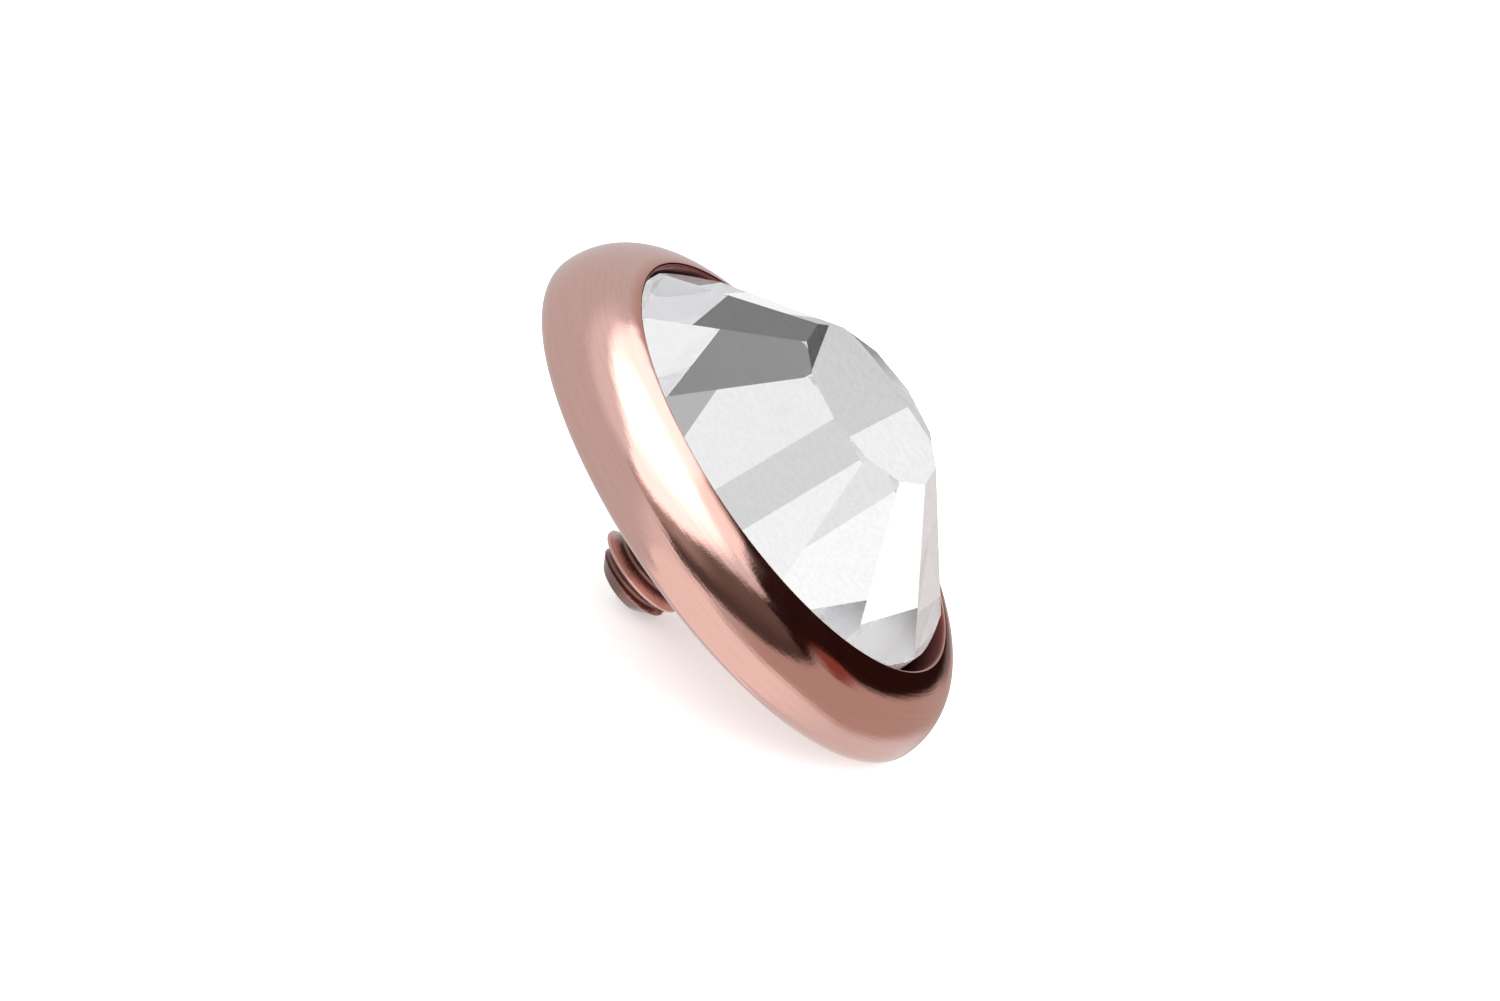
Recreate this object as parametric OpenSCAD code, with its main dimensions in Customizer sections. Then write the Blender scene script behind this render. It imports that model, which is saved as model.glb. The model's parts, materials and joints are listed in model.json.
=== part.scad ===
// Dermal anchor top: a clear round flat-back stone in a rolled bezel cup with a threaded post.
// Each piece is drawn upright, with the cup's axis on Z and the rim's widest circle at z = 0, the
// stone up and the post down. The whole is then laid down on the surface z = 0 as it rests by itself,
// on the back of its rim and the end of its post.

/* [Rim] */
// Radius of the rim at its widest circle
rim_r = 3.5; // [3.4:0.05:3.8]
// Radius of the round front of the rim
rim_front_r = 0.86; // [0.84:0.01:0.95]
// Radius of the tight round where the rim turns to its back
rim_back_r = 0.25; // [0.2:0.01:0.3]
// Depth of the cup's flat back behind the widest circle
back_depth = 0.375; // [0.35:0.005:0.42]
// Radius of the flat part of the cup's back
back_flat_r = 2.7; // [2.5:0.05:2.8]

/* [Cup] */
// Radius of the bore that holds the stone
bore_r = 2.8; // [2.8:0.01:2.85]
// Height of the seat behind the stone, from the widest circle
seat_z = -0.09; // [-0.15:0.01:-0.09]

/* [Stone] */
// Crown facets of the stone, and sides of its table
stone_sides = 12; // [10, 12, 14, 16]
// Radius of the stone's round girdle
girdle_r = 2.7; // [2.6:0.01:2.7]
// Radius of the table to its corners
table_r = 1.13; // [0.9:0.01:1.4]
// Slope of the ridges between the crown facets, in degrees
ridge_angle = 40.2; // [35:0.1:41]
// Thickness of the girdle at the ridges, where it is thickest
girdle_h = 0.58; // [0.4:0.01:0.58]
// How far the top of the girdle lies below the lip at the ridges
girdle_drop = 0.07; // [0.05:0.01:0.07]
// How far the stone sits off the cup's axis, away from the side that the cup rests on
stone_shift = 0.07; // [0:0.01:0.07]
// How far the stone sits out of true in the cup, in degrees
stone_tilt = 5; // [0:0.5:5]
// Direction that the stone leans towards, in degrees from X
stone_tilt_towards = 247; // [0:1:359]

/* [Post] */
// Radius of the post over its thread
thread_r = 0.6; // [0.5:0.05:0.8]
// Distance from one crest of the thread to the next
thread_pitch = 0.25; // [0.2:0.01:0.25]
// Number of full crests
thread_crests = 5; // [4:1:5]
// Distance from the widest circle to the crest nearest the free end
last_crest_depth = 1.48; // [1.48:0.01:1.5]
// Radius of the small run-out crest at the tip
tip_crest_r = 0.4; // [0.35:0.01:0.44]
// Distance from the widest circle to the run-out crest
tip_crest_depth = 1.69; // [1.67:0.01:1.71]
// Radius of the flat end of the post
tip_r = 0.34; // [0.25:0.01:0.38]
// Distance from the widest circle to the end of the post
post_depth = 1.75; // [1.72:0.01:2]

/* [Hidden] */
$fn = 96;

// Metric form of an outside thread: a flat crest, 60 degree flanks and a flat root
crest_half = thread_pitch / 16;
root_half = thread_pitch / 12;
thread_depth = thread_pitch * 0.61343;
root_r = thread_r - thread_depth;

// The post swells a little where it meets the cup's back
neck_r = thread_r * 1.1;

// How far neighbouring parts of one section run into each other
join = 0.05;

// Centres of the two arcs that round the rim's back, tangent to each other
edge_centre_r = rim_r - rim_back_r;
edge_run = edge_centre_r - back_flat_r;
sweep_r = (pow(edge_run, 2) + pow(back_depth, 2) - pow(rim_back_r, 2)) / (2 * (back_depth - rim_back_r));
sweep_z = sweep_r - back_depth;

// The round front ends at the bore, which is the lip
front_centre_r = rim_r - rim_front_r;
lip_z = sqrt(pow(rim_front_r, 2) - pow(bore_r - front_centre_r, 2));

// The stone from its flat back to its table
crown_h = (girdle_r - table_r) * tan(ridge_angle);
stone_h = girdle_h + crown_h;
stone_back_z = lip_z - girdle_drop - girdle_h;
facet_angle = atan(tan(ridge_angle) / cos(180 / stone_sides));

// Height of the stone's centre of mass above its back, near enough: a plate and a cut pyramid of like polygons
girdle_area = pow(girdle_r, 2);
table_area = pow(table_r, 2);
mean_area = girdle_r * table_r;
crown_volume = crown_h / 3 * (girdle_area + mean_area + table_area);
crown_centre = crown_h / 4 * (girdle_area + 2 * mean_area + 3 * table_area)
             / (girdle_area + mean_area + table_area);
plate_volume = girdle_h * girdle_area;
stone_centre = (plate_volume * girdle_h / 2 + crown_volume * (girdle_h + crown_centre))
             / (plate_volume + crown_volume);

// Lean of the axis when the rim's back and the end of the post both touch the surface
lean_reach = edge_centre_r - tip_r;
lean = acos(rim_back_r / norm([lean_reach, post_depth])) - atan2(lean_reach, post_depth);
rest_z = edge_centre_r * sin(lean) + rim_back_r;

// Middle of the lying part's extent along X, between the rim's front arc and its back arc
rest_x = ((front_centre_r - edge_centre_r) * cos(lean) + rim_front_r - rim_back_r) / 2;

module lie_down() {
    translate([-rest_x, 0, rest_z]) rotate([0, lean, 0]) children();
}

// Half section of the rim in front of its widest circle, from the bore outwards
module rim_front_section() {
    intersection() {
        translate([front_centre_r, 0]) circle(rim_front_r);
        translate([bore_r, 0]) square([rim_r - bore_r, rim_front_r]);
    }
}

// Half section of the rim behind its widest circle: a long shallow sweep into a tight round
module rim_back_section() {
    edge_centre = [edge_centre_r, 0];
    to_tangent = [edge_run, -sweep_z] * rim_back_r / norm([edge_run, sweep_z]);
    intersection() {
        translate([back_flat_r, sweep_z]) circle(sweep_r);
        polygon([
            [bore_r, join],
            [edge_centre_r, join],
            edge_centre,
            edge_centre + 3 * to_tangent,
            [back_flat_r - join, -3 * back_depth],
            [back_flat_r - join, seat_z],
            [bore_r, seat_z]
        ]);
    }
    intersection() {
        translate(edge_centre) circle(rim_back_r);
        translate([edge_centre_r, -rim_back_r]) square([rim_back_r, rim_back_r + join]);
    }
}

// Half section of the cup's floor and of the post in one outline: down the post, each crest and its root
module floor_and_post_section() {
    first_crest_z = -last_crest_depth + (thread_crests - 1) * thread_pitch;
    floor = [
        [0, seat_z],
        [bore_r + join, seat_z],
        [back_flat_r, -back_depth],
        [neck_r, -back_depth]
    ];
    crests = [
        for (i = [0 : thread_crests - 1])
            let (z = first_crest_z - i * thread_pitch)
            each [
                [thread_r, z + crest_half],
                [thread_r, z - crest_half],
                [root_r, z - thread_pitch / 2 + root_half],
                [root_r, z - thread_pitch / 2 - root_half]
            ]
    ];
    tip = [[tip_crest_r, -tip_crest_depth], [tip_r, -post_depth], [0, -post_depth]];
    polygon(concat(floor, crests, tip));
}

module setting() {
    color([0.86, 0.62, 0.56])
    lie_down() {
        rotate_extrude() rim_front_section();
        rotate_extrude() rim_back_section();
        rotate_extrude() floor_and_post_section();
    }
}

// The blank is a disc, and each pass of the loop cuts one flat crown facet from it
module cut_stone() {
    facet_size = 3 * girdle_r;
    difference() {
        cylinder(r = girdle_r, h = stone_h);
        for (i = [0 : stone_sides - 1])
            rotate([0, 0, i * 360 / stone_sides])
            translate([table_r * cos(180 / stone_sides), 0, stone_h])
            rotate([0, facet_angle, 0])
            translate([-facet_size / 2, -facet_size / 2, 0])
            cube(facet_size);
    }
}

module stone() {
    color([0.92, 0.93, 0.95])
    lie_down()
    translate([-stone_shift, 0, stone_back_z + stone_centre])
    rotate([0, 0, stone_tilt_towards])
    rotate([0, stone_tilt, 0])
    rotate([0, 0, -stone_tilt_towards])
    translate([0, 0, -stone_centre])
    cut_stone();
}

setting();
stone();
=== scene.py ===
"""Dermal anchor top: the looks of a rose gold bezel cup with a threaded post and a clear flat-back stone.

Both pieces are built in the cup's own frame, in millimetres along its axis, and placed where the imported
model has them. The floor is pale, and round it the world shader paints a studio room by direction. The
metal reflects a room with a dark screen and an overhead light, and a plainer pale room lights the stone.
"""
import json
import math

import bmesh
import bpy
from mathutils import Matrix, Vector


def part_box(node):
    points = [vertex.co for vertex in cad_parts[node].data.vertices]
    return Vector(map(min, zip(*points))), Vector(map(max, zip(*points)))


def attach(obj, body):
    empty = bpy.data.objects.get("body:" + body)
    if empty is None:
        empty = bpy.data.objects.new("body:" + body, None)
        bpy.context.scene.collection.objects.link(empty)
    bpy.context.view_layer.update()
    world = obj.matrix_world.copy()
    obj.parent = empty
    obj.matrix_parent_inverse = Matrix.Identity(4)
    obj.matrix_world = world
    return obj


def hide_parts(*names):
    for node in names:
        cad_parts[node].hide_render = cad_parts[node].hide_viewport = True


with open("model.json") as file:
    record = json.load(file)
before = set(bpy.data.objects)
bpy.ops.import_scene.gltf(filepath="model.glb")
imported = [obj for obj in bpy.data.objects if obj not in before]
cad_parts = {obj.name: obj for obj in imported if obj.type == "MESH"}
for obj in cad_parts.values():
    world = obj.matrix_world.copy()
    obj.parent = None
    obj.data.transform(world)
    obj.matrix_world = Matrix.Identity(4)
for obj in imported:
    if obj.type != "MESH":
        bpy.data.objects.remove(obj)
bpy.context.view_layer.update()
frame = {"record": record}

MM = 0.001
mounts = {mount["name"]: mount for mount in frame["record"]["mounts"]}

# The cup's section, in millimetres from its axis and from the rim's widest circle
RIM_R = (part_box("setting")[1].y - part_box("setting")[0].y) / 2 / MM
RIM_FRONT_R = 0.86
RIM_BACK_R = 0.25
FRONT_CENTRE_R = RIM_R - RIM_FRONT_R
BACK_CENTRE_R = RIM_R - RIM_BACK_R
BACK_DEPTH = 0.375
BACK_FLAT_R = 2.7
BORE_R = 2.8
SEAT_Z = -0.09
SEAT_CHAMFER = 0.03
LIP_ROUND = 0.035

# The stone, in the same frame. It leans by an angle, towards a direction in degrees from X.
STONE_SIDES = 12
GIRDLE_R = 2.7
GIRDLE_H = 0.58
GIRDLE_DROP = 0.07
TABLE_R = 1.13
RIDGE_ANGLE = 40.2
CROWN_H = (GIRDLE_R - TABLE_R) * math.tan(math.radians(RIDGE_ANGLE))
STONE_SHIFT = 0.07
STONE_TILT = 5
STONE_TILT_TOWARDS = 247
STONE_INDEX = 1.52

# The post and its metric thread. Its mount lies at the middle depth, and the phase sets where crests fall.
THREAD_R = mounts["thread"]["dims"]["r_mm"]
THREAD_MIDDLE = 0.98
THREAD_PITCH = 0.25
THREAD_PHASE = 0.1
CREST_HALF = THREAD_PITCH / 16
THREAD_DEPTH = THREAD_PITCH * 0.61343
NECK_R = THREAD_R * 1.1
NECK_SLOPE = 0.9
TIP_R = 0.34
POST_DEPTH = 1.75

# Smoothness: steps round the axis, along the cup's section, down the post, and per facet at the girdle
ROUND_STEPS = 288
WALL_STEPS = 8
LIP_STEPS = 10
FRONT_STEPS = 48
BACK_STEPS = 16
FLAT_STEPS = 12
POST_RINGS = 190
FACET_STEPS = 20

# Heights of a normal that tell the faces of the upright stone: its back looks down and its side level
BACK_NORMAL = -0.9
SIDE_NORMAL = 0.1

# Colours of the metal and of the stone's coating
ROSE_GOLD = (0.83, 0.518, 0.458, 1)
ROSE_GOLD_DULL = (0.80, 0.495, 0.435, 1)
# Painted shade: a dark maroon for the shaded inside of the bore
BORE_PAINTED_SHADE = (0.27, 0.085, 0.075, 1)
# Painted shade: the thread's grooves are darkened, and the post a little, for the shade under the rim
GROOVE_PAINTED_SHADE = (0.25, 0.13, 0.115, 1)
POST_SHADED_GOLD = (0.76, 0.48, 0.43, 1)
FOIL_BRIGHT = (0.94, 0.94, 0.945, 1)
FOIL_DULL = (0.89, 0.89, 0.895, 1)
# Painted shade on the stone's matt side, at one place round the axis
COAT_PAINTED_SHADE = (0.42, 0.42, 0.425, 1)

# Noise textures: scale per millimetre, detail and roughness
GRAIN = (26.0, 3.0, 0.6)
CLOUD = (1.4, 3.0, 0.55)
WAVES = (2.4, 1.0, 0.4)
FOIL_CLOUD = (11.0, 6.0, 0.7)
COAT_CLOUD = (9.0, 4.0, 0.6)

# Turning lines: their noise, how many fit in a millimetre, and how far the cloud lets them wander
LINES = (1.0, 2.0, 0.5)
LINE_SCALE = 30.0
LINE_WANDER = 6.0

# Relief of the metal: relative heights, depth in millimetres and strength
WAVE_HEIGHT = 2.6
GRAIN_HEIGHT = 0.35
LINE_HEIGHT = 0.5
RELIEF_DEPTH = 0.02
RELIEF_STRENGTH = 0.09

# Roughness: the metal's in its clear and cloudy places, what the bore and the post add, and the coatings'
CLEAR_ROUGHNESS = 0.08
CLOUDY_ROUGHNESS = 0.13
BORE_ROUGHNESS = 0.3
POST_ROUGHNESS = 0.12
FOIL_ROUGHNESS = 0.012
COAT_ROUGHNESS = 0.7

# Places where the metal's looks change, in millimetres from the axis or from the widest circle, and the
# width over which the grain shifts the edge between the crests and the painted shade in the grooves
BORE_TO_RIM = (BORE_R + 0.005, BORE_R + 0.03)
PLAIN_TO_GRAINY = (BORE_R + 0.05, BORE_R + 0.3)
BEHIND_TO_FRONT = (SEAT_Z - 0.05, SEAT_Z)
BACK_TO_POST = (NECK_R + 0.15, NECK_R + 0.05)
GROOVE_TO_CREST = (THREAD_R - THREAD_DEPTH + 0.02, THREAD_R - 0.03)
CREST_EDGE_JITTER = 0.12

# Values of a noise between which its two looks blend
CLOUD_BLEND = (0.3, 0.7)
FOIL_BLEND = (0.35, 0.65)

# Angles round the axis where the stone's matt side has painted shade: the shade grows over two and fades over
# the last two
SHADED_COAT_SPAN = (80, 96, 106, 126)

# The photo's camera: where it stands round the part, its roll, and the frame's width and offsets at the part
VIEW_AZIMUTH = 0.25
VIEW_ELEVATION = 21.15
VIEW_ROLL = 26.94
FRAME_WIDTH = 17.5
LENS = 600
SENSOR = 36
OFFSET_RIGHT = 0.135
OFFSET_UP = 0.063

# The floor: metres from its middle to each edge, its tone and its own glow
FLOOR_REACH = 3.0
FLOOR_TONE = 0.88
FLOOR_GLOW = 0.42

# The room that the metal reflects. Its edges are points of azimuth and elevation, in degrees, where azimuth 0
# faces -Y and 90 faces +X. Each edge is soft over a number of degrees.
LIGHT_EDGE = [(-180, 48), (-150, 58), (-110, 66), (-70, 66), (-48, 60), (-25, 41), (5, 43), (40, 52),
              (80, 57), (102, 64), (120, 64), (134, 58), (146, 46), (158, 36), (180, 48)]
LIGHT_SOFT = 9
FLOOR_EDGE = [(-180, -60), (-90, -64), (-50, -53), (-30, -36), (-14, 2), (5, 8), (30, -7), (60, -17),
              (95, -28), (150, -22), (180, -30)]
FLOOR_SOFT = 11
SCREEN_TOP = [(-180, -80), (-62, -30), (-36, 41), (-18, 42), (5, 43), (40, 47), (70, 45), (84, 43),
              (97, 51), (128, 47), (146, 39), (160, 24), (180, -70)]
SCREEN_TOP_SOFT = 5
SCREEN_FOOT = [(-180, 60), (-62, 56), (-36, 38), (-18, 31), (-8, 23), (5, 12), (25, 10), (60, 9),
               (80, 16), (98, 26), (112, 13), (140, 3), (160, -2), (180, 20)]
SCREEN_FOOT_SOFT = 7

# Tones of that room
FLOOR_LEFT = (1.02, 0.97, 0.95, 1)
FLOOR_RIGHT = (0.77, 0.77, 0.77, 1)
WALL = (0.625, 0.635, 0.64, 1)
WALL_FRONT = (0.90, 0.86, 0.84, 1)
WALL_SIDE = (0.51, 0.40, 0.36, 1)
WALL_UPPER = (0.85, 0.87, 0.88, 1)
WALL_LAMP = (1.32, 1.28, 1.25, 1)
WALL_DUSK = (0.24, 0.19, 0.19, 1)
SCREEN_LOW = (0.085, 0.062, 0.055, 1)
SCREEN_HIGH = (0.15, 0.115, 0.10, 1)
SCREEN_PALE = (0.41, 0.35, 0.32, 1)
SCREEN_DEEP = (0.022, 0.007, 0.006, 1)
GLOW = (0.255, 0.07, 0.052, 1)
OVERHEAD_LOW = 1.74
OVERHEAD_HIGH = 2.6

# Azimuths between which that room's tones change. A span rises over two values and falls over the last two.
FLOOR_TURN = (40, 105)
FRONT_SPAN = (-34, -8, 5, 30)
SIDE_SPAN = (5, 50, 168, 180)
PALE_TURN = (38, 2)
DEEP_TURN = (75, 81)

# Elevations between which its tones change
SHOULDER = (38, 52)
SCREEN_RISE = (18, 36)
PALE_RISE = (22, 34)
OVERHEAD_RISE = (56, 76)

# Round patches of that room: azimuth, elevation, and the radii where a patch begins to fade and ends
LAMP_PLACE = (128, 52, 16, 28)
DUSK_PLACE = (164, -1, 6, 11)
GLOW_PLACE = (100, 20, 3, 11)

# The pale room that lights the stone, and its patches in the order they are laid: three lamps, then cards
# from white to grey and one dark screen. Each is an azimuth, an elevation, two radii as above and a tone.
STONE_ROOM = 0.91
STONE_PATCHES = [
    (-168, 42, 9, 16, 1.3),
    (148, 54, 6, 11, 1.12),
    (92, 16, 6, 10, 1.6),
    (159, 22, 5, 9, 0.70),
    (166, 36, 5, 9, 0.88),
    (138, 0, 6, 11, 0.34),
    (133, 46, 6, 10, 0.79),
    (121, 23, 15, 21, 0.11),
    (148, 17, 4, 7, 0.83),
    (172, 24, 3, 5, 0.98),
    (64, -8, 6, 10, 1.03),
]

# Light that falls on matt surfaces. Inside the stone it grows with elevation.
MATT_LIGHT = 2.1
MATT_LIGHT_ABOVE = 3.4
MATT_RISE = (-10, 60)


def cup_frame():
    """Matrix from the cup's own frame, in metres, to the row frame: its origin is the rim's centre."""
    down = Vector(mounts["thread"]["axis"]).normalized()
    up = -down
    middle = Vector(mounts["thread"]["pos_m"])
    across = Vector((0, 1, 0))
    side = across.cross(up).normalized()
    turn = Matrix((side, across, up)).transposed().to_4x4()
    return Matrix.Translation(middle + up * THREAD_MIDDLE * MM) @ turn


CUP = cup_frame()


def facing(azimuth, elevation):
    """Unit vector towards an azimuth and an elevation, in degrees."""
    a, e = math.radians(azimuth), math.radians(elevation)
    return Vector((math.sin(a) * math.cos(e), -math.cos(a) * math.cos(e), math.sin(e)))


def grey(tone):
    return (tone, tone, tone, 1)


def new_object(name, data):
    piece = bpy.data.objects.new(name, data)
    bpy.context.scene.collection.objects.link(piece)
    return piece


def settle(data, place):
    """Moves a mesh to its place, and keeps each point's place in the cup's frame for the materials."""
    data.transform(place)
    kept = data.attributes.new("cup_place", "FLOAT_VECTOR", "POINT")
    inverse = CUP.inverted()
    for vertex in data.vertices:
        kept.data[vertex.index].vector = inverse @ vertex.co / MM


def ring(mesh, angles, radii, heights):
    """Adds a ring of points, with a radius and a height in millimetres for each angle."""
    points = zip(angles, radii, heights)
    return [mesh.verts.new((r * math.cos(t) * MM, r * math.sin(t) * MM, z * MM)) for t, r, z in points]


def band(mesh, upper, lower):
    """Adds the faces between two rings, and returns them."""
    count = len(upper)
    faces = []
    for i in range(count):
        j = (i + 1) % count
        faces.append(mesh.faces.new((upper[i], upper[j], lower[j], lower[i])))
    return faces


def mesh_data(mesh, name):
    """Mesh data of a built solid, with its faces looking outwards."""
    bmesh.ops.recalc_face_normals(mesh, faces=mesh.faces)
    data = bpy.data.meshes.new(name)
    mesh.to_mesh(data)
    mesh.free()
    return data


def arc(centre_r, centre_z, radius, start, end, steps):
    """Points of a section's arc, from one angle to another, in degrees from outwards."""
    points = []
    for i in range(steps + 1):
        angle = math.radians(start + (end - start) * i / steps)
        points.append((centre_r + radius * math.cos(angle), centre_z + radius * math.sin(angle)))
    return points


def cup_section():
    """The cup's half section from the seat's middle over the lip and the rim to the neck of the post."""
    back_run = BACK_CENTRE_R - BACK_FLAT_R
    sweep_r = (back_run ** 2 + BACK_DEPTH ** 2 - RIM_BACK_R ** 2) / (2 * (BACK_DEPTH - RIM_BACK_R))
    sweep_z = sweep_r - BACK_DEPTH
    tangent = math.degrees(math.atan2(sweep_z, back_run))

    # The lip is a small round between the bore's wall and the rim's front
    lip_r = BORE_R + LIP_ROUND
    lip_z = math.sqrt((RIM_FRONT_R - LIP_ROUND) ** 2 - (lip_r - FRONT_CENTRE_R) ** 2)
    lip_angle = math.degrees(math.atan2(lip_z, lip_r - FRONT_CENTRE_R))

    section = [(0, SEAT_Z), (BORE_R / 2, SEAT_Z)]
    section += [(BORE_R - SEAT_CHAMFER, SEAT_Z), (BORE_R, SEAT_Z + SEAT_CHAMFER)]
    section += [(BORE_R, SEAT_Z + (lip_z - SEAT_Z) * i / WALL_STEPS) for i in range(1, WALL_STEPS)]
    section += arc(lip_r, lip_z, LIP_ROUND, 180, lip_angle, LIP_STEPS)
    section += arc(FRONT_CENTRE_R, 0, RIM_FRONT_R, lip_angle, 0, FRONT_STEPS)[1:]
    section += arc(BACK_CENTRE_R, 0, RIM_BACK_R, 0, -tangent, BACK_STEPS)[1:]
    section += arc(BACK_FLAT_R, sweep_z, sweep_r, -tangent, -90, BACK_STEPS)[1:]
    flat_run = NECK_R - BACK_FLAT_R
    section += [(BACK_FLAT_R + flat_run * i / FLAT_STEPS, -BACK_DEPTH) for i in range(1, FLAT_STEPS + 1)]
    return section


def post_radius(angle, depth):
    """Radius of the post at an angle round it and a depth behind the rim's widest circle."""
    turns = (depth - THREAD_PHASE) / THREAD_PITCH + angle / (2 * math.pi)
    from_crest = abs(turns - round(turns)) * THREAD_PITCH
    flank = max(0, from_crest - CREST_HALF) * math.sqrt(3)
    threaded = THREAD_R - min(THREAD_DEPTH, flank)
    neck = NECK_R - (depth - BACK_DEPTH) * NECK_SLOPE
    chamfer = TIP_R + (POST_DEPTH - depth)
    return min(max(threaded, neck), chamfer)


def turned_mesh(name):
    """The cup and its post as one closed mesh of rings: the post's rings carry the thread's helix."""
    mesh = bmesh.new()
    section = cup_section()
    angles = [2 * math.pi * i / ROUND_STEPS for i in range(ROUND_STEPS)]
    rings = [ring(mesh, angles, [r] * ROUND_STEPS, [z] * ROUND_STEPS) for r, z in section[1:]]
    for i in range(1, POST_RINGS + 1):
        depth = BACK_DEPTH + (POST_DEPTH - BACK_DEPTH) * i / POST_RINGS
        radii = [post_radius(t, depth) for t in angles]
        rings.append(ring(mesh, angles, radii, [-depth] * ROUND_STEPS))
    for upper, lower in zip(rings, rings[1:]):
        band(mesh, upper, lower)
    seat = mesh.verts.new((0, 0, SEAT_Z * MM))
    tip = mesh.verts.new((0, 0, -POST_DEPTH * MM))
    for i in range(ROUND_STEPS):
        j = (i + 1) % ROUND_STEPS
        mesh.faces.new((seat, rings[0][j], rings[0][i]))
        mesh.faces.new((tip, rings[-1][i], rings[-1][j]))
    data = mesh_data(mesh, name)
    data.shade_smooth()
    return data


def stone_centre_height():
    """Height of the stone's centre of mass above its back, about which it leans."""
    girdle, table, mean = GIRDLE_R ** 2, TABLE_R ** 2, GIRDLE_R * TABLE_R
    crown_volume = CROWN_H / 3 * (girdle + mean + table)
    crown_centre = CROWN_H / 4 * (girdle + 2 * mean + 3 * table) / (girdle + mean + table)
    plate_volume = GIRDLE_H * girdle
    moment = plate_volume * GIRDLE_H / 2 + crown_volume * (GIRDLE_H + crown_centre)
    return moment / (plate_volume + crown_volume)


def facet_height(angle):
    """Height above the stone's back where a crown facet meets the girdle, at an angle round the stone."""
    half = math.pi / STONE_SIDES
    from_middle = (angle + half) % (2 * half) - half
    slope = math.tan(math.radians(RIDGE_ANGLE)) / math.cos(half)
    reach = GIRDLE_R * math.cos(from_middle) - TABLE_R * math.cos(half)
    return GIRDLE_H + CROWN_H - reach * slope


def stone_mesh(name):
    """The stone: flat back, round girdle, flat crown facets and table, all with sharp edges."""
    mesh = bmesh.new()
    count = STONE_SIDES * FACET_STEPS
    angles = [2 * math.pi * (i + FACET_STEPS / 2) / count for i in range(count)]
    back = ring(mesh, angles, [GIRDLE_R] * count, [0] * count)
    girdle = ring(mesh, angles, [GIRDLE_R] * count, [facet_height(t) for t in angles])
    table_heights = [GIRDLE_H + CROWN_H] * STONE_SIDES
    table = ring(mesh, angles[::FACET_STEPS], [TABLE_R] * STONE_SIDES, table_heights)
    mesh.faces.new(list(reversed(back)))
    mesh.faces.new(table)
    for i in range(STONE_SIDES):
        start = i * FACET_STEPS
        foot = [girdle[(start + k) % count] for k in range(FACET_STEPS + 1)]
        mesh.faces.new(foot + [table[(i + 1) % STONE_SIDES], table[i]])
    for side in band(mesh, back, girdle):
        side.smooth = True
    for edge in mesh.edges:
        edge.smooth = all(face.smooth for face in edge.link_faces)
    return mesh_data(mesh, name)


def stone_place():
    """Where the stone sits in the cup: leaning about its centre of mass."""
    lip_z = math.sqrt(RIM_FRONT_R ** 2 - (BORE_R - FRONT_CENTRE_R) ** 2)
    back_z = lip_z - GIRDLE_DROP - GIRDLE_H
    centre = stone_centre_height()
    towards = Matrix.Rotation(math.radians(STONE_TILT_TOWARDS), 4, "Z")
    lean = towards @ Matrix.Rotation(math.radians(STONE_TILT), 4, "Y") @ towards.inverted()
    lift = Matrix.Translation((-STONE_SHIFT * MM, 0, (back_z + centre) * MM))
    drop = Matrix.Translation((0, 0, -centre * MM))
    return CUP @ lift @ lean @ drop


class Nodes:
    """A node tree with short calls for the nodes that the materials and the studio use."""

    def __init__(self, tree):
        self.tree = tree
        self.tree.nodes.clear()

    def add(self, kind, inputs=None, **settings):
        """Adds a node. Each input is given its value, or a link if the value is a socket."""
        node = self.tree.nodes.new(kind)
        for key, value in settings.items():
            setattr(node, key, value)
        for key, value in (inputs or {}).items():
            if isinstance(value, bpy.types.NodeSocket):
                self.tree.links.new(value, node.inputs[key])
            else:
                node.inputs[key].default_value = value
        return node

    def math(self, operation, *values):
        return self.add("ShaderNodeMath", dict(enumerate(values)), operation=operation).outputs[0]

    def ramp(self, value, low, high, to_low=0.0, to_high=1.0):
        """Maps a value from one range to another, with a soft start and end."""
        inputs = {"Value": value, "From Min": low, "From Max": high, "To Min": to_low, "To Max": to_high}
        return self.add("ShaderNodeMapRange", inputs, interpolation_type="SMOOTHSTEP").outputs["Result"]

    def between(self, value, start, full, fading, end):
        """1 between two soft ends: it rises from start to full, and falls from fading to end."""
        return self.math("MULTIPLY", self.ramp(value, start, full), self.ramp(value, end, fading))

    def mix(self, factor, a, b):
        """Blends two colours, from a at factor 0 to b at factor 1."""
        return self.add("ShaderNodeMix", {0: factor, 6: a, 7: b}, data_type="RGBA").outputs[2]

    def noise(self, vector, scale, detail, roughness):
        inputs = {"Vector": vector, "Scale": scale, "Detail": detail, "Roughness": roughness}
        return self.add("ShaderNodeTexNoise", inputs).outputs["Fac"]

    def degrees(self, radians):
        return self.math("MULTIPLY", radians, math.degrees(1))

    def cup_place(self):
        """A point's place in the cup's frame, in millimetres, and the node with its three coordinates."""
        place = self.add("ShaderNodeAttribute", attribute_name="cup_place").outputs["Vector"]
        return place, self.add("ShaderNodeSeparateXYZ", {"Vector": place})


def new_material(name):
    """An empty material and its nodes."""
    material = bpy.data.materials.new(name)
    material.use_nodes = True
    return material, Nodes(material.node_tree)


def surface(nodes, inputs):
    """Gives a material its shader."""
    shader = nodes.add("ShaderNodeBsdfPrincipled", inputs)
    nodes.add("ShaderNodeOutputMaterial", {"Surface": shader.outputs[0]})


def turning_lines(nodes, radius, height, cloud):
    """Fine lines round the axis, as turning leaves them, that wander with the cloud."""
    line_place = nodes.add("ShaderNodeCombineXYZ", {
        "X": nodes.math("MULTIPLY", radius, LINE_SCALE),
        "Y": nodes.math("MULTIPLY", height, LINE_SCALE),
        "Z": nodes.math("MULTIPLY", cloud, LINE_WANDER),
    })
    return nodes.noise(line_place.outputs[0], *LINES)


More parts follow.
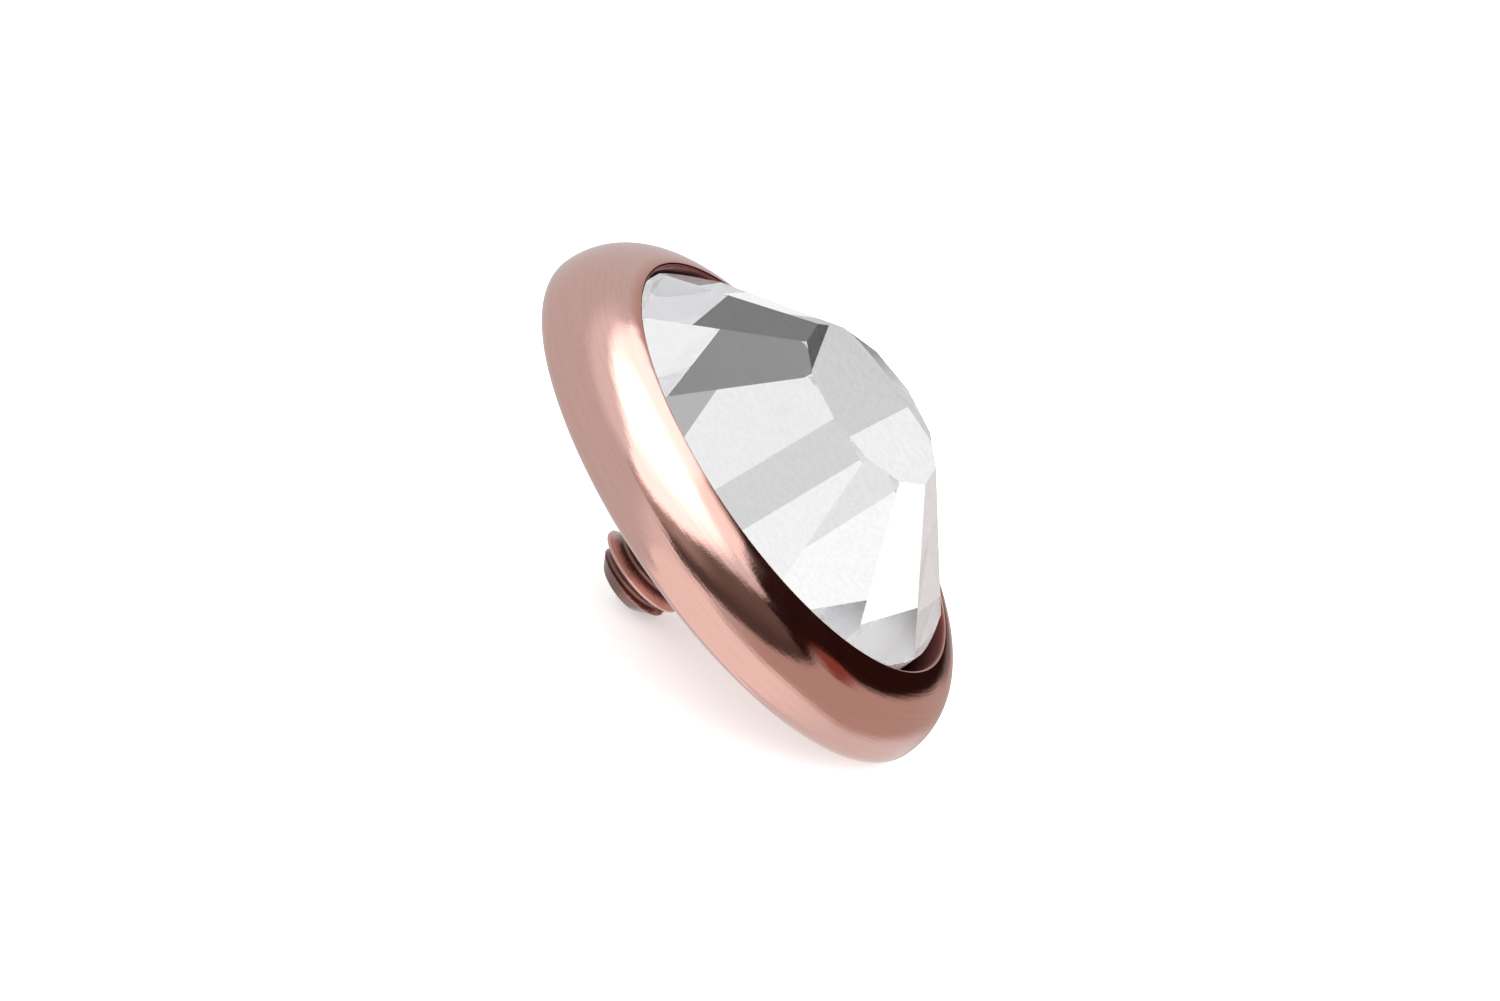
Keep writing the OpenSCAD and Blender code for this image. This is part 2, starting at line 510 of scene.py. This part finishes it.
def relief(nodes, place, radius, grain, lines):
    """The metal's normal, with slight waves, the turning lines, and a grain outside the bore."""
    waves = nodes.math("MULTIPLY", nodes.noise(place, *WAVES), WAVE_HEIGHT)
    fine = nodes.math("MULTIPLY", grain, nodes.ramp(radius, *PLAIN_TO_GRAINY, 0.0, GRAIN_HEIGHT))
    turned = nodes.math("MULTIPLY", lines, LINE_HEIGHT)
    height = nodes.math("ADD", nodes.math("ADD", waves, fine), turned)
    inputs = {"Strength": RELIEF_STRENGTH, "Distance": RELIEF_DEPTH * MM, "Height": height}
    return nodes.add("ShaderNodeBump", inputs).outputs["Normal"]


def rose_gold():
    """Polished rose gold with fine turning lines and a faint grain, rougher in the bore, with painted shade
    in the bore and in the thread's grooves.
    """
    material, nodes = new_material("rose_gold")
    place, axes = nodes.cup_place()
    squares = [nodes.math("POWER", axes.outputs[name], 2.0) for name in ("X", "Y")]
    radius = nodes.math("SQRT", nodes.math("ADD", *squares))
    grain = nodes.noise(place, *GRAIN)
    cloud = nodes.noise(place, *CLOUD)
    lines = turning_lines(nodes, radius, axes.outputs["Z"], cloud)

    # Shares of the surface that are the bore, the post, and the crests of the post's thread
    inside = nodes.ramp(radius, *BORE_TO_RIM, 1.0, 0.0)
    front = nodes.ramp(axes.outputs["Z"], *BEHIND_TO_FRONT)
    bore = nodes.math("MULTIPLY", inside, front)
    post = nodes.math("MULTIPLY", nodes.ramp(radius, *BACK_TO_POST), nodes.ramp(front, 1.0, 0.0))
    # The grain jitters the edge between the crests and the painted shade in the grooves
    edge_jitter = nodes.math("MULTIPLY_ADD", grain, CREST_EDGE_JITTER, -CREST_EDGE_JITTER / 2)
    crest = nodes.ramp(nodes.math("ADD", radius, edge_jitter), *GROOVE_TO_CREST)

    polish = nodes.ramp(cloud, *CLOUD_BLEND, CLEAR_ROUGHNESS, CLOUDY_ROUGHNESS)
    bore_dull = nodes.math("MULTIPLY", bore, BORE_ROUGHNESS)
    post_dull = nodes.math("MULTIPLY", post, POST_ROUGHNESS)
    streaks = nodes.mix(nodes.ramp(lines, *CLOUD_BLEND), ROSE_GOLD_DULL, ROSE_GOLD)
    # Painted shade: the bore is darkened to a dark maroon
    turned = nodes.mix(bore, streaks, BORE_PAINTED_SHADE)
    # Painted shade in the thread's grooves, and a slightly darker post
    thread = nodes.mix(crest, GROOVE_PAINTED_SHADE, POST_SHADED_GOLD)
    surface(nodes, {
        "Base Color": nodes.mix(post, turned, thread),
        "Metallic": 1.0,
        "Roughness": nodes.math("ADD", polish, nodes.math("MAXIMUM", bore_dull, post_dull)),
        "Normal": relief(nodes, place, radius, grain, lines),
    })
    return material


def crystal():
    """Clear glass of the crown."""
    material, nodes = new_material("crystal")
    surface(nodes, {
        "Base Color": grey(1),
        "Roughness": 0.0,
        "IOR": STONE_INDEX,
        "Transmission Weight": 1.0,
    })
    return material


def foil():
    """The mirror coating on the stone's back, with the faint clouding of a painted foil."""
    material, nodes = new_material("foil")
    place, _ = nodes.cup_place()
    cloud = nodes.noise(place, *FOIL_CLOUD)
    surface(nodes, {
        "Base Color": nodes.mix(nodes.ramp(cloud, *FOIL_BLEND), FOIL_DULL, FOIL_BRIGHT),
        "Metallic": 1.0,
        "Roughness": FOIL_ROUGHNESS,
    })
    return material


def girdle_coat():
    """The matt silvery side of the stone, under its coating, with painted shade that turns it grey at one
    place round the axis.
    """
    material, nodes = new_material("girdle_coat")
    place, axes = nodes.cup_place()
    cloud = nodes.noise(place, *COAT_CLOUD)
    silver = nodes.mix(nodes.ramp(cloud, *CLOUD_BLEND), FOIL_DULL, FOIL_BRIGHT)
    around = nodes.degrees(nodes.math("ARCTAN2", axes.outputs["Y"], axes.outputs["X"]))
    # Painted shade: the side turns grey over a span of angles round the axis
    surface(nodes, {
        "Base Color": nodes.mix(nodes.between(around, *SHADED_COAT_SPAN), silver, COAT_PAINTED_SHADE),
        "Roughness": COAT_ROUGHNESS,
    })
    return material


def build_setting():
    piece = new_object("setting_finished", turned_mesh("setting_finished"))
    settle(piece.data, CUP)
    piece.data.materials.append(rose_gold())
    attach(piece, "root")
    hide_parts("setting")


def build_stone():
    piece = new_object("stone_finished", stone_mesh("stone_finished"))
    for material in (crystal(), foil(), girdle_coat()):
        piece.data.materials.append(material)
    for face in piece.data.polygons:
        if face.normal.z < BACK_NORMAL:
            face.material_index = 1
        elif abs(face.normal.z) < SIDE_NORMAL:
            face.material_index = 2
    settle(piece.data, stone_place())
    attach(piece, "root")
    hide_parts("stone")


def build_floor():
    """A matt floor, lit a little by itself, that reflections and the stone don't see."""
    data = bpy.data.meshes.new("floor")
    corners = [(x * FLOOR_REACH, y * FLOOR_REACH, 0) for x, y in ((-1, -1), (1, -1), (1, 1), (-1, 1))]
    data.from_pydata(corners, [], [(0, 1, 2, 3)])
    floor = new_object("floor", data)
    material, nodes = new_material("floor")
    shader = nodes.add("ShaderNodeBsdfDiffuse", {"Color": grey(FLOOR_TONE)})
    glow = nodes.add("ShaderNodeEmission", {"Color": grey(1), "Strength": FLOOR_GLOW})
    both = nodes.add("ShaderNodeAddShader", {0: shader.outputs[0], 1: glow.outputs[0]})
    nodes.add("ShaderNodeOutputMaterial", {"Surface": both.outputs[0]})
    data.materials.append(material)
    floor.visible_glossy = False
    floor.visible_transmission = False


def view_basis():
    """The camera's right, up and back directions from its place round the part and its roll."""
    back = facing(VIEW_AZIMUTH, VIEW_ELEVATION)
    level = Vector((0, 0, 1)).cross(back).normalized()
    upright = back.cross(level)
    roll = math.radians(VIEW_ROLL)
    right = level * math.cos(roll) + upright * math.sin(roll)
    up = upright * math.cos(roll) - level * math.sin(roll)
    return right, up, back


def build_camera():
    data = bpy.data.cameras.new("camera")
    data.lens = LENS
    data.sensor_width = SENSOR
    distance = FRAME_WIDTH * MM * LENS / SENSOR
    data.clip_start = distance / 20
    data.clip_end = distance * 40
    camera = new_object("camera", data)
    right, up, back = view_basis()
    target = CUP.translation + (right * OFFSET_RIGHT + up * OFFSET_UP) * MM
    place = Matrix((right, up, back)).transposed().to_4x4()
    place.translation = target + back * distance
    camera.matrix_world = place
    bpy.context.scene.camera = camera


class Room(Nodes):
    """The studio's nodes, with the direction that light comes from and its azimuth and elevation."""

    def __init__(self, tree):
        super().__init__(tree)
        self.direction = self.add("ShaderNodeTexCoord").outputs["Generated"]
        axes = self.add("ShaderNodeSeparateXYZ", {"Vector": self.direction})
        self.elevation = self.degrees(self.math("ARCSINE", axes.outputs["Z"]))
        forward = self.math("MULTIPLY", axes.outputs["Y"], -1.0)
        self.azimuth = self.degrees(self.math("ARCTAN2", axes.outputs["X"], forward))

    def edge(self, points, soft):
        """1 above a smooth edge through points of azimuth and elevation, and 0 below it."""
        across = self.math("MULTIPLY_ADD", self.azimuth, 1 / 360, 0.5)
        node = self.add("ShaderNodeFloatCurve", {"Value": across})
        line = node.mapping.curves[0]
        placed = [((azimuth + 180) / 360, (elevation + 90) / 180) for azimuth, elevation in points]
        line.points[0].location = placed[0]
        line.points[1].location = placed[-1]
        for spot in placed[1:-1]:
            line.points.new(*spot)
        node.mapping.update()
        height = self.math("MULTIPLY_ADD", node.outputs[0], 180.0, -90.0)
        return self.ramp(self.math("SUBTRACT", self.elevation, height), -soft / 2, soft / 2)

    def patch(self, azimuth, elevation, inner, outer):
        """1 within inner degrees of a direction and 0 past outer degrees."""
        inputs = {0: self.direction, 1: facing(azimuth, elevation)}
        dot = self.add("ShaderNodeVectorMath", inputs, operation="DOT_PRODUCT").outputs["Value"]
        return self.ramp(dot, math.cos(math.radians(outer)), math.cos(math.radians(inner)))


def wall_for_metal(room):
    """The wall: warm in front and at the right, brighter above, with one bright and one dusky patch."""
    wall = room.mix(room.between(room.azimuth, *FRONT_SPAN), WALL, WALL_FRONT)
    wall = room.mix(room.between(room.azimuth, *SIDE_SPAN), wall, WALL_SIDE)
    upper = room.mix(room.patch(*LAMP_PLACE), WALL_UPPER, WALL_LAMP)
    wall = room.mix(room.ramp(room.elevation, *SHOULDER), wall, upper)
    return room.mix(room.patch(*DUSK_PLACE), wall, WALL_DUSK)


def screen_for_metal(room):
    """The dark screen's tone: deepest at the right, and palest high up in front."""
    tone = room.mix(room.ramp(room.elevation, *SCREEN_RISE), SCREEN_LOW, SCREEN_HIGH)
    high = room.ramp(room.elevation, *PALE_RISE)
    paler = room.math("MULTIPLY", room.ramp(room.azimuth, *PALE_TURN), high)
    tone = room.mix(paler, tone, SCREEN_PALE)
    return room.mix(room.ramp(room.azimuth, *DEEP_TURN), tone, SCREEN_DEEP)


def room_for_metal(room):
    """What the polished metal reflects: wall, pale floor, dark screen, red glow and overhead light."""
    floor = room.mix(room.ramp(room.azimuth, *FLOOR_TURN), FLOOR_LEFT, FLOOR_RIGHT)
    seen = room.mix(room.edge(FLOOR_EDGE, FLOOR_SOFT), floor, wall_for_metal(room))
    past_top = room.edge(SCREEN_TOP, SCREEN_TOP_SOFT)
    past_foot = room.edge(SCREEN_FOOT, SCREEN_FOOT_SOFT)
    screen = room.math("MULTIPLY", past_foot, room.math("SUBTRACT", 1.0, past_top))
    seen = room.mix(screen, seen, screen_for_metal(room))
    seen = room.mix(room.patch(*GLOW_PLACE), seen, GLOW)
    high = room.ramp(room.elevation, *OVERHEAD_RISE)
    overhead = room.mix(high, grey(OVERHEAD_LOW), grey(OVERHEAD_HIGH))
    return room.mix(room.edge(LIGHT_EDGE, LIGHT_SOFT), seen, overhead)


def room_for_stone(room):
    """What the light inside the stone comes from: a pale room with lamps, cards and a dark screen."""
    seen = grey(STONE_ROOM)
    for *place, tone in STONE_PATCHES:
        seen = room.mix(room.patch(*place), seen, grey(tone))
    return seen


def build_studio():
    """The world's light by direction, and by the kind of ray that asks for it."""
    world = bpy.data.worlds.new("studio")
    bpy.context.scene.world = world
    world.use_nodes = True
    room = Room(world.node_tree)
    path = room.add("ShaderNodeLightPath")
    from_matt = room.math("MINIMUM", path.outputs["Diffuse Depth"], 1.0)
    matt = room.mix(room.ramp(room.elevation, *MATT_RISE), grey(MATT_LIGHT), grey(MATT_LIGHT_ABOVE))
    stone = room.mix(from_matt, room_for_stone(room), matt)
    lit = room.mix(path.outputs["Is Transmission Ray"], room_for_metal(room), stone)
    lit = room.mix(path.outputs["Is Diffuse Ray"], lit, grey(MATT_LIGHT))
    lit = room.mix(path.outputs["Is Camera Ray"], lit, grey(1))
    background = room.add("ShaderNodeBackground", {"Color": lit, "Strength": 1.0})
    room.add("ShaderNodeOutputWorld", {"Surface": background.outputs[0]})


def set_colour():
    scene = bpy.context.scene
    scene.view_settings.view_transform = "Standard"
    scene.view_settings.look = "None"
    scene.cycles.use_denoising = True
    scene.cycles.max_bounces = 24
    scene.cycles.glossy_bounces = 16
    scene.cycles.transmission_bounces = 16


build_setting()
build_stone()
build_floor()
build_camera()
build_studio()
set_colour()
